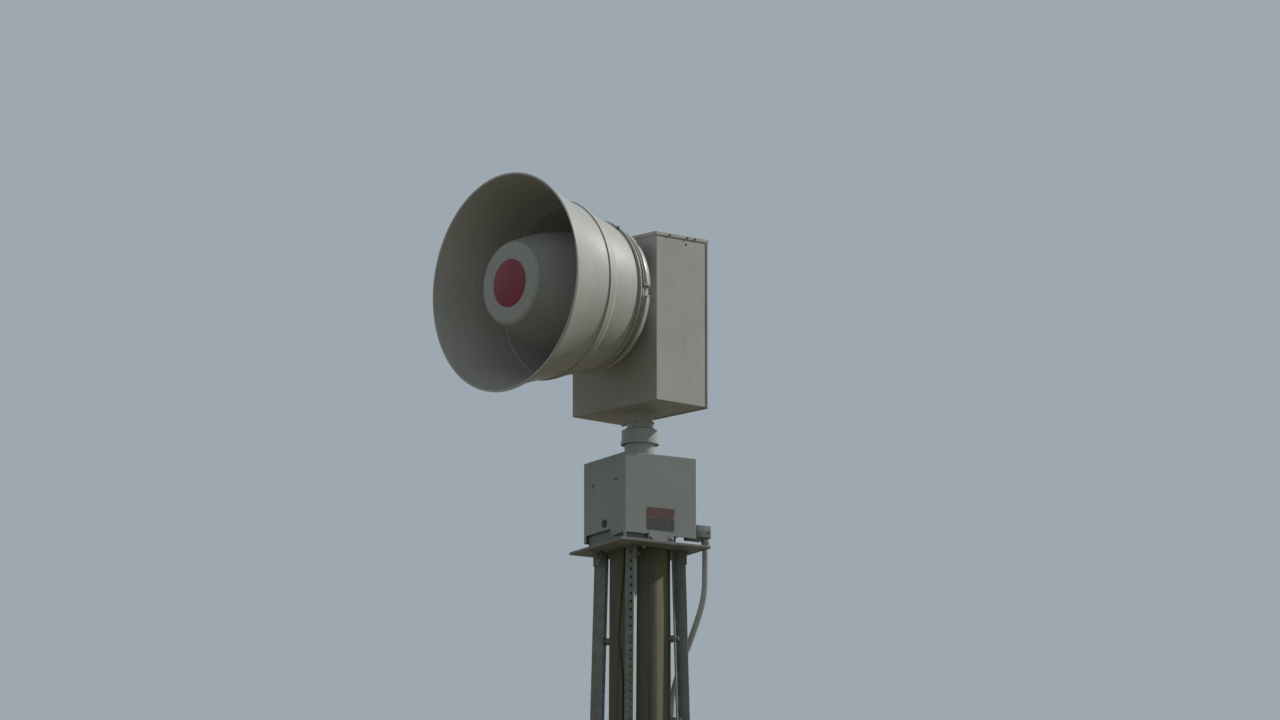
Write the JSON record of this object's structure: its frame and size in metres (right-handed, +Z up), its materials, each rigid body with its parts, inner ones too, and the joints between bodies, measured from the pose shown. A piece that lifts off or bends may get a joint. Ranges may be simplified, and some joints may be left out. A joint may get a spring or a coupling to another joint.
{
  "type": "civil defense siren tower",
  "caption": "Outdoor warning siren: a flared horn with an inner cone on a turning box head, above a rotator, square plate and braced top of a tall wooden pole with conduit.",
  "frame": {"origin": "centre of the pole's base, on the ground line", "axes": "+Z up along the pole; -Y is the face of the rotator that shows on the picture's right; at rest the horn points towards -X, turned 10.9 degrees about +Z"},
  "size_m": [0.8837, 0.7472, 13.0455],
  "materials": {
    "weathered_wood": "weathered, treated",
    "galvanised_steel": "dull galvanised",
    "bolt_steel": "galvanised fasteners",
    "rotator_paint": "light grey satin",
    "head_paint": "light grey satin",
    "horn_shell": "pale warm grey satin",
    "cone_shell": "pale grey satin",
    "machine_steel": "machined steel",
    "cast_housing": "dark cast",
    "conduit_steel": "galvanised conduit",
    "flexible_jacket": "grey ribbed jacket",
    "plug_plastic": "black"
  },
  "bodies": {
    "tower": {"pole": "weathered_wood", "mounting_plate": "galvanised_steel", "leg_back_right": "galvanised_steel", "leg_back_left": "galvanised_steel", "leg_front_left": "galvanised_steel", "leg_front_right": "galvanised_steel", "leg_lag_bolts": "bolt_steel", "leg_spacers": "bolt_steel", "leg_clips": "galvanised_steel", "rotator_base": "rotator_paint", "rotator_gearbox": "cast_housing", "rotator_cover": "rotator_paint", "cover_hole_plug": "plug_plastic", "bearing_tube": "machine_steel", "junction_box": "rotator_paint", "conduit_fitting": "conduit_steel", "flexible_conduit": "flexible_jacket", "conduit_coupling": "conduit_steel", "pole_conduit": "conduit_steel", "conduit_straps": "conduit_steel"},
    "siren_head": {"drive_shaft": "machine_steel", "neck": "machine_steel", "weather_skirt": "rotator_paint", "housing_body": "head_paint", "housing_top_cover": "head_paint", "housing_back_cover": "head_paint", "throat_housing": "cast_housing", "siren_motor": "cast_housing", "chopper": "machine_steel", "stator": "machine_steel", "horn_back_pan": "horn_shell", "horn_clamp_upper": "horn_shell", "horn_clamp_lower": "horn_shell", "horn_rear": "horn_shell", "horn_front": "horn_shell", "inner_cone": "cone_shell", "cone_nose": "cone_shell"}
  },
  "joints": [
    {"name": "head_rotation", "type": "hinge", "parent": "tower", "child": "siren_head", "pos_m": [0, 0, 12.2], "axis": [0, 0, 1], "continuous": true}
  ]
}
